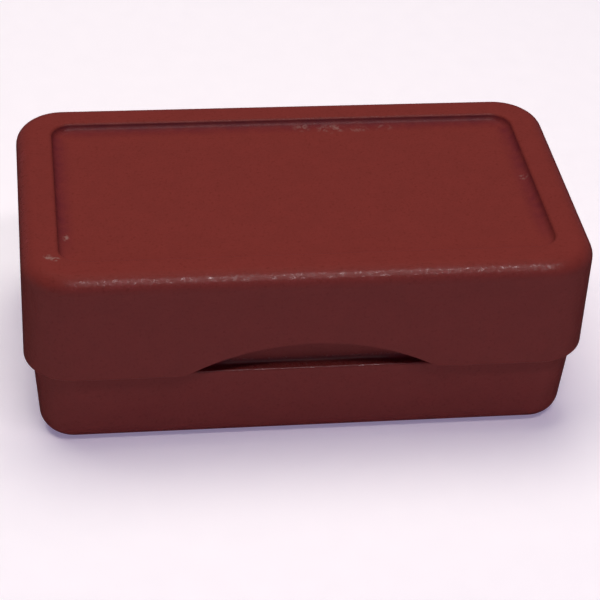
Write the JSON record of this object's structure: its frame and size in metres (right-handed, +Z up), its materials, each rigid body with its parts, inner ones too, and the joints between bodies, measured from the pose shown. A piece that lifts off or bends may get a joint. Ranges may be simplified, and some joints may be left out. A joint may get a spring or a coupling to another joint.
{
  "type": "ink pad",
  "caption": "Raised rubber-stamp ink pad in a rounded, hinged moulded case with a recessed lid panel and a front thumb notch.",
  "frame": {"origin": "centre of the base's flat underside", "axes": "+X along the long side to the right seen from the front, +Y to the hinged back, +Z up"},
  "size_m": [0.066, 0.0428, 0.0244],
  "materials": {
    "case_plastic": "fine-grained satin burgundy",
    "insert_plastic": "satin burgundy",
    "inked_cloth": "ink-soaked fine weave",
    "pad_foam": "open-cell foam",
    "reservoir_felt": "pressed felt",
    "pin_steel": "drawn wire"
  },
  "bodies": {
    "base": {"base_tray": "case_plastic", "hinge_pin_left": "pin_steel", "hinge_pin_right": "pin_steel", "ink_reservoir": "reservoir_felt", "pad_plate": "insert_plastic", "pad_foam": "pad_foam", "pad_cover": "inked_cloth", "pad_frame": "insert_plastic"},
    "lid": {"lid": "case_plastic"}
  },
  "joints": [
    {"name": "lid_hinge", "type": "hinge", "parent": "base", "child": "lid", "pos_m": [0, 0.02125, 0.0105], "axis": [-1, 0, 0], "range_deg": [0, 110]}
  ]
}
